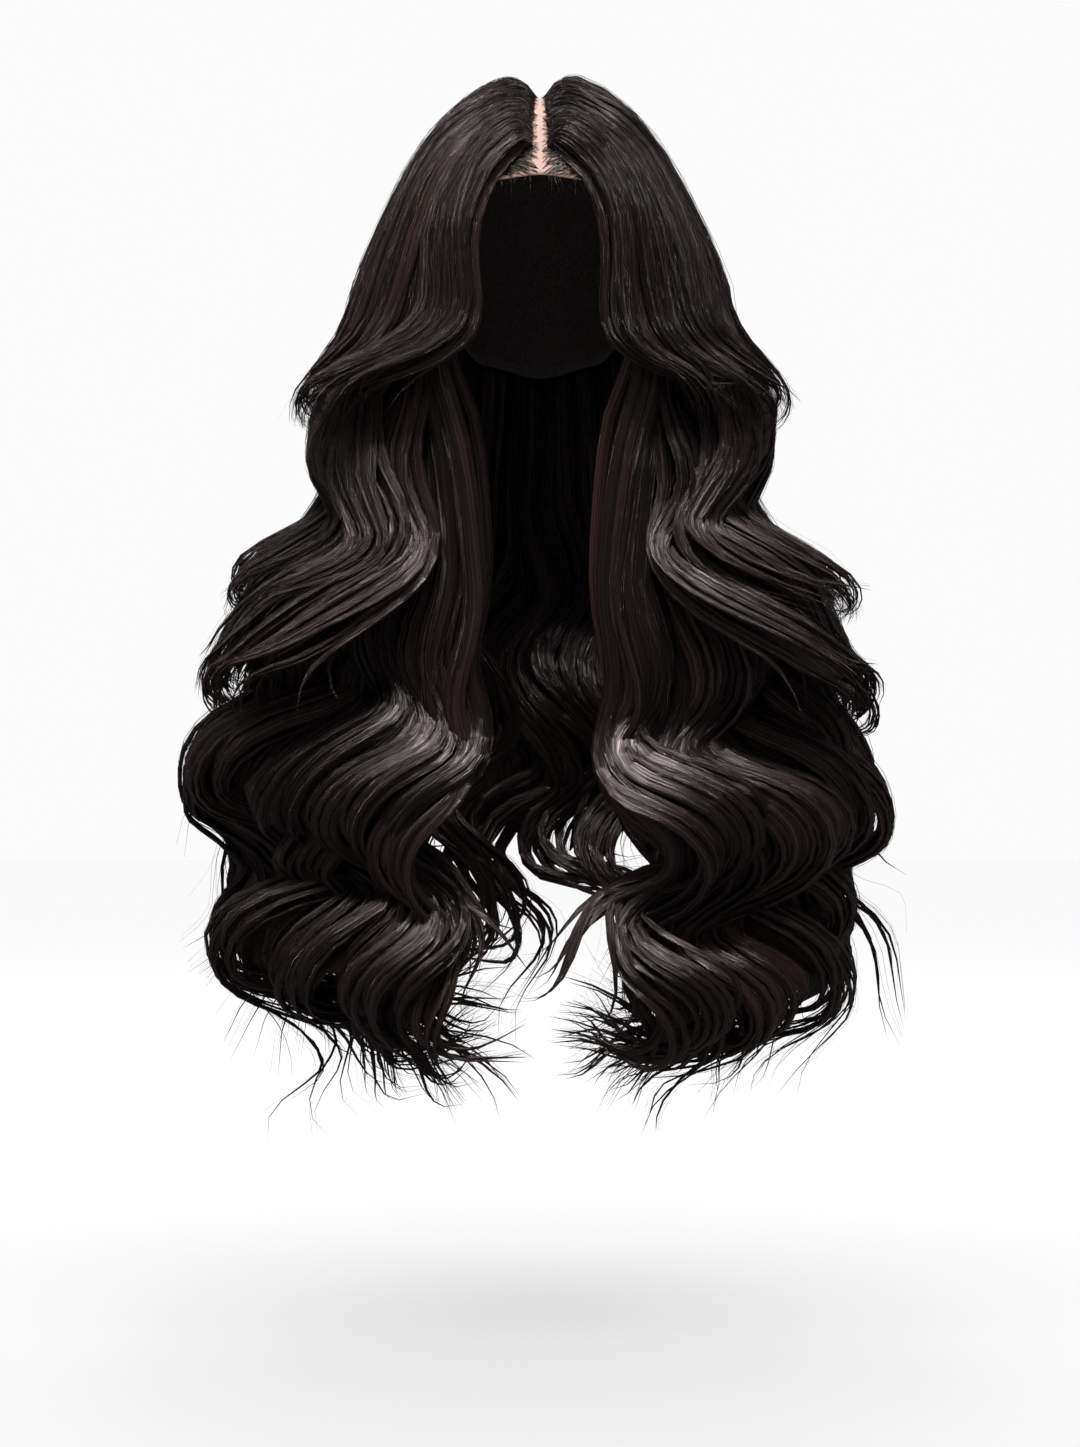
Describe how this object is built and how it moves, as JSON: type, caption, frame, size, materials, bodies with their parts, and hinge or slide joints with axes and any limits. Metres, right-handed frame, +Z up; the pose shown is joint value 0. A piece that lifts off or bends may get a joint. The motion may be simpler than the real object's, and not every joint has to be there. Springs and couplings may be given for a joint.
{
  "type": "wig",
  "caption": "Long wavy layered wig with a centre parting, curtain fringe, lace front and net cap, open below so that it can be worn on a head.",
  "frame": {"origin": "inside of the cap's crown, where the top of the head rests", "axes": "+Z up, +X to the right as seen from the front, face opening towards -Y"},
  "size_m": [0.4415, 0.2298, 0.6392],
  "materials": {
    "hair": "brown-black fibre with a soft sheen along the strands",
    "lace": "fine matt skin-toned lace",
    "net": "matt dark stretch net"
  },
  "bodies": {
    "root": {"lace_front": "lace", "net_cap": "net", "fringe_left": "hair", "fringe_right": "hair", "crown_left": "hair", "crown_right": "hair", "middle_left": "hair", "middle_right": "hair", "length_left": "hair", "length_right": "hair", "back": "hair"}
  },
  "joints": []
}
